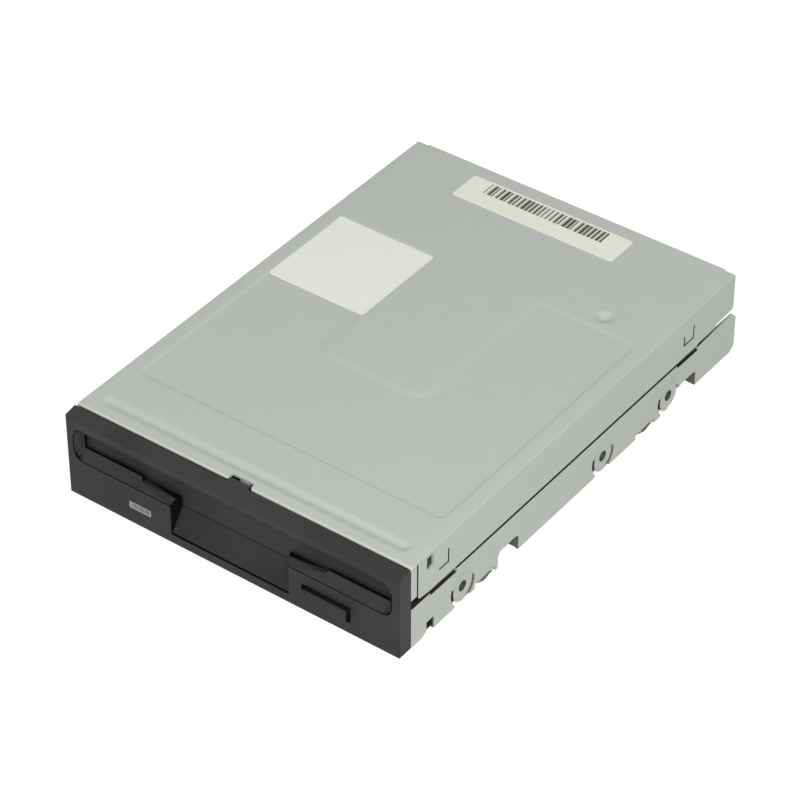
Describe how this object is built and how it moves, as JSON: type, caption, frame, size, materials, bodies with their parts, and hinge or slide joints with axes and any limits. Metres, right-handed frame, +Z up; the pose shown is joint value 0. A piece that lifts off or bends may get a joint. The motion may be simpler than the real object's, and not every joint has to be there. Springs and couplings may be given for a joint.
{
  "type": "floppy disk drive",
  "caption": "Slim bay-mounted disk drive: steel frame and cover, bezel with sprung slot flap and eject button, sinking disk holder, spindle motor and head carriage on a lead screw.",
  "frame": {"origin": "middle of the object's box on the plane of its base", "axes": "+Y from the bezel to the rear connectors, +Z up from the base, +X to the eject button's side"},
  "size_m": [0.1016, 0.1484, 0.0254],
  "materials": {
    "galvanised_steel": "satin",
    "bright_steel": "satin",
    "black_plastic": "matte",
    "grey_plastic": "matte",
    "carriage_plastic": "matte",
    "pale_plastic": "satin",
    "lens_plastic": "gloss",
    "circuit_board": "satin",
    "copper": "satin",
    "bronze": "satin",
    "gold_pins": "gloss",
    "ferrite": "matte",
    "motor_can": "satin",
    "cable_film": "satin",
    "paper_white": "matte",
    "paper_cream": "matte"
  },
  "bodies": {
    "chassis": {"main_frame": "galvanised_steel", "top_cover": "galvanised_steel", "front_bezel": "black_plastic", "flap_spring": "bright_steel", "slider_rivets": "bright_steel", "eject_springs": "bright_steel", "spindle_board": "circuit_board", "stator_core": "ferrite", "stator_coils": "copper", "spindle_bearing": "bronze", "guide_rod": "bright_steel", "rod_clamps": "black_plastic", "stepper_motor": "motor_can", "stepper_bracket": "galvanised_steel", "main_board": "circuit_board", "signal_header": "black_plastic", "signal_pins": "gold_pins", "power_header": "pale_plastic", "power_pins": "gold_pins", "board_chips": "black_plastic", "board_capacitors": "motor_can", "spindle_cable": "cable_film", "switch_blocks": "black_plastic", "track_sensor": "black_plastic", "led_lens": "lens_plastic", "led_lamp": "lens_plastic", "led_board": "circuit_board", "white_label": "paper_white", "cream_label": "paper_cream", "board_screws": "bright_steel", "spindle_board_screws": "bright_steel", "bracket_screws": "bright_steel"},
    "eject_slide": {"eject_button": "black_plastic", "eject_slider": "galvanised_steel"},
    "holder": {"disk_holder": "galvanised_steel", "holder_pins": "bright_steel", "lever_pivot": "bright_steel", "lever_spring": "bright_steel"},
    "flap": {"slot_flap": "grey_plastic"},
    "lever": {"shutter_lever": "pale_plastic"},
    "spindle": {"spindle_shaft": "bright_steel", "rotor_cup": "galvanised_steel", "rotor_magnet": "ferrite", "chuck_plate": "bright_steel", "drive_pin": "bright_steel"},
    "carriage": {"head_carriage": "carriage_plastic", "lower_head": "ferrite", "arm_pivot": "bright_steel", "arm_spring": "bright_steel"},
    "upper_arm": {"head_arm": "grey_plastic", "upper_head": "ferrite"},
    "screw": {"lead_screw": "bright_steel"},
    "disk_sensor": {"disk_plunger": "pale_plastic"},
    "protect_sensor": {"protect_plunger": "pale_plastic"},
    "density_sensor": {"density_plunger": "pale_plastic"}
  },
  "joints": [
    {"name": "eject_travel", "type": "slide", "parent": "chassis", "child": "eject_slide", "axis": [0, -1, 0], "range_m": [0, 0.006]},
    {"name": "holder_lift", "type": "slide", "parent": "chassis", "child": "holder", "axis": [0, 0, -1], "range_m": [0, 0.0022]},
    {"name": "flap_swing", "type": "hinge", "parent": "chassis", "child": "flap", "pos_m": [0, -0.06945, 0.0204], "axis": [-1, 0, 0], "range_deg": [-85, 0], "stiffness_Nm_per_rad": 0.0006, "springref_deg": 22.92},
    {"name": "lever_swing", "type": "hinge", "parent": "holder", "child": "lever", "pos_m": [0.039, 0.00905, 0.0203], "axis": [0, 0, 1], "range_deg": [-104, 0], "stiffness_Nm_per_rad": 0.001, "springref_deg": 17.19},
    {"name": "spindle_turn", "type": "hinge", "parent": "chassis", "child": "spindle", "pos_m": [0, -0.01897, 0.0112], "axis": [0, 0, 1], "continuous": true},
    {"name": "carriage_travel", "type": "slide", "parent": "chassis", "child": "carriage", "axis": [0, -1, 0], "range_m": [0, 0.0148]},
    {"name": "screw_turn", "type": "hinge", "parent": "chassis", "child": "screw", "pos_m": [-0.014, 0.02675, 0.0115], "axis": [0, 1, 0], "range_deg": [0, 1425]},
    {"name": "arm_swing", "type": "hinge", "parent": "carriage", "child": "upper_arm", "pos_m": [0, 0.04252, 0.017], "axis": [1, 0, 0], "range_deg": [0, 12.6]},
    {"name": "disk_press", "type": "slide", "parent": "chassis", "child": "disk_sensor", "axis": [0, 0, -1], "range_m": [0, 0.0016], "stiffness_N_per_m": 150, "springref_m": -0.0008},
    {"name": "protect_press", "type": "slide", "parent": "chassis", "child": "protect_sensor", "axis": [0, 0, -1], "range_m": [0, 0.0016], "stiffness_N_per_m": 150, "springref_m": -0.0008},
    {"name": "density_press", "type": "slide", "parent": "chassis", "child": "density_sensor", "axis": [0, 0, -1], "range_m": [0, 0.0016], "stiffness_N_per_m": 150, "springref_m": -0.0008}
  ],
  "couplings": [
    {"joint": "holder_lift", "follows": "eject_travel", "ratio": 0.36666},
    {"joint": "arm_swing", "follows": "eject_travel", "rad_per_m": 36.361},
    {"joint": "screw_turn", "follows": "carriage_travel", "rad_per_m": 1675.5}
  ]
}
